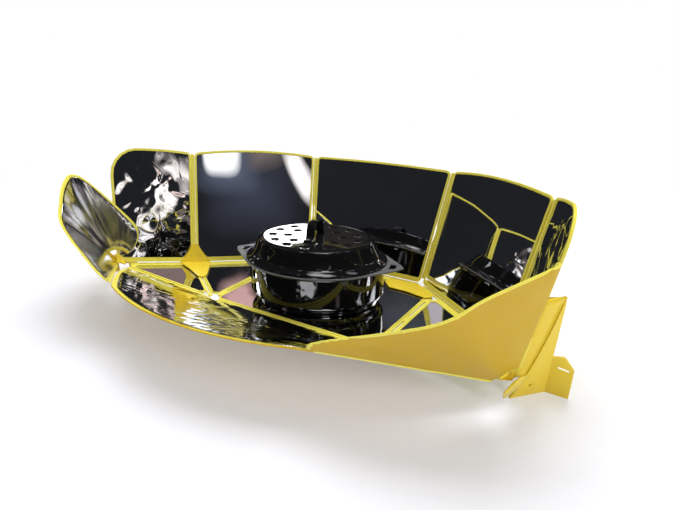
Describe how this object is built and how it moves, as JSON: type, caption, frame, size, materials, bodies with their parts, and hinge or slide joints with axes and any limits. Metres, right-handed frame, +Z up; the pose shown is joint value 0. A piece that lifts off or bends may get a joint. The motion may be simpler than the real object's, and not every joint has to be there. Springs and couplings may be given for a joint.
{
  "type": "panel solar oven",
  "caption": "Fold-flat solar cooker: mirrored yellow plastic panels hinged into an open bowl with curled front petals, feet, and an oval black lidded roaster.",
  "frame": {"origin": "middle of the footprint, on the ground", "axes": "+Z up, the open front and its petals towards -Y, the tall back wall towards +Y, +X to the right seen from the front"},
  "size_m": [0.9124, 0.572, 0.2567],
  "materials": {
    "yellow_polypropylene": "satin moulded plastic",
    "mirror_sheet": "bright mirror film",
    "black_enamel": "gloss black enamel on pressed steel"
  },
  "bodies": {
    "base": {"floor_centre_tray": "yellow_polypropylene", "floor_centre_mirror": "mirror_sheet", "back_hinge": "yellow_polypropylene", "front_hinge": "yellow_polypropylene", "floor_side_tray_left": "yellow_polypropylene", "floor_side_tray_right": "yellow_polypropylene", "floor_side_mirror_left": "mirror_sheet", "floor_side_mirror_right": "mirror_sheet", "floor_strap_left": "yellow_polypropylene", "floor_strap_right": "yellow_polypropylene", "side_hinge_left": "yellow_polypropylene", "side_hinge_right": "yellow_polypropylene", "wing_hinge_left": "yellow_polypropylene", "wing_hinge_right": "yellow_polypropylene", "diamond_connector_left": "yellow_polypropylene", "diamond_connector_right": "yellow_polypropylene", "back_corner_connector_left": "yellow_polypropylene", "back_corner_connector_right": "yellow_polypropylene"},
    "back_wall": {"back_wall_tray": "yellow_polypropylene", "back_wall_mirror": "mirror_sheet", "back_strut_left": "yellow_polypropylene", "back_strut_right": "yellow_polypropylene"},
    "front_panel": {"front_tray": "yellow_polypropylene", "front_mirror": "mirror_sheet", "petal_hinge_left": "yellow_polypropylene", "petal_hinge_right": "yellow_polypropylene", "apex_star_left": "yellow_polypropylene", "apex_star_right": "yellow_polypropylene"},
    "side_wall_left": {"side_wall_tray_left": "yellow_polypropylene", "side_wall_mirror_left": "mirror_sheet"},
    "wing_left": {"wing_tray_left": "yellow_polypropylene", "wing_mirror_left": "mirror_sheet", "end_hinge_left": "yellow_polypropylene", "wing_front_hinge_left": "yellow_polypropylene"},
    "end_wall_left": {"end_wall_tray_left": "yellow_polypropylene", "end_wall_mirror_left": "mirror_sheet", "end_strut_left": "yellow_polypropylene", "foot_left": "yellow_polypropylene"},
    "petal_left": {"petal_tray_left": "yellow_polypropylene", "petal_mirror_left": "mirror_sheet"},
    "side_wall_right": {"side_wall_tray_right": "yellow_polypropylene", "side_wall_mirror_right": "mirror_sheet"},
    "wing_right": {"wing_tray_right": "yellow_polypropylene", "wing_mirror_right": "mirror_sheet", "end_hinge_right": "yellow_polypropylene", "wing_front_hinge_right": "yellow_polypropylene"},
    "end_wall_right": {"end_wall_tray_right": "yellow_polypropylene", "end_wall_mirror_right": "mirror_sheet", "end_strut_right": "yellow_polypropylene", "foot_right": "yellow_polypropylene"},
    "petal_right": {"petal_tray_right": "yellow_polypropylene", "petal_mirror_right": "mirror_sheet"},
    "pot": {"pot_body": "black_enamel", "pot_flange": "black_enamel"},
    "lid": {"lid": "black_enamel", "lid_grip": "black_enamel"}
  },
  "joints": [
    {"name": "back_fold", "type": "hinge", "parent": "base", "child": "back_wall", "pos_m": [0, 0.21632, 0.002], "axis": [1, 0, 0], "range_deg": [-73, 0]},
    {"name": "front_fold", "type": "hinge", "parent": "base", "child": "front_panel", "pos_m": [0, -0.05038, 0.002], "axis": [-1, 0, 0], "range_deg": [-27, 0]},
    {"name": "side_fold_left", "type": "hinge", "parent": "base", "child": "side_wall_left", "pos_m": [-0.23735, 0.13863, 0.002], "axis": [0.7965, 0.6046, 0], "range_deg": [-72, 0]},
    {"name": "wing_fold_left", "type": "hinge", "parent": "base", "child": "wing_left", "pos_m": [-0.2566, 0.00528, 0.002], "axis": [-0.8309, 0.5565, 0], "range_deg": [-13, 0]},
    {"name": "end_fold_left", "type": "hinge", "parent": "wing_left", "child": "end_wall_left", "pos_m": [-0.3672, -0.01418, 0.02085], "axis": [0.3345, 0.9141, -0.2293], "range_deg": [-70, 0]},
    {"name": "petal_fold_left", "type": "hinge", "parent": "front_panel", "child": "petal_left", "pos_m": [-0.29085, -0.16639, 0.07085], "axis": [-0.7806, 0.5794, -0.2342], "range_deg": [0, 25]},
    {"name": "side_fold_right", "type": "hinge", "parent": "base", "child": "side_wall_right", "pos_m": [0.23735, 0.13863, 0.002], "axis": [0.7965, -0.6046, 0], "range_deg": [-72, 0]},
    {"name": "wing_fold_right", "type": "hinge", "parent": "base", "child": "wing_right", "pos_m": [0.2566, 0.00528, 0.002], "axis": [-0.8309, -0.5565, 0], "range_deg": [-13, 0]},
    {"name": "end_fold_right", "type": "hinge", "parent": "wing_right", "child": "end_wall_right", "pos_m": [0.3672, -0.01418, 0.02085], "axis": [0.3345, -0.9141, 0.2293], "range_deg": [-70, 0]},
    {"name": "petal_fold_right", "type": "hinge", "parent": "front_panel", "child": "petal_right", "pos_m": [0.29085, -0.16639, 0.07085], "axis": [-0.7806, -0.5794, 0.2342], "range_deg": [0, 25]},
    {"name": "pot_lift", "type": "slide", "parent": "base", "child": "pot", "axis": [0, 0, 1], "range_m": [0, 0.25]},
    {"name": "lid_lift", "type": "slide", "parent": "pot", "child": "lid", "axis": [0, 0, 1], "range_m": [0, 0.15]}
  ]
}
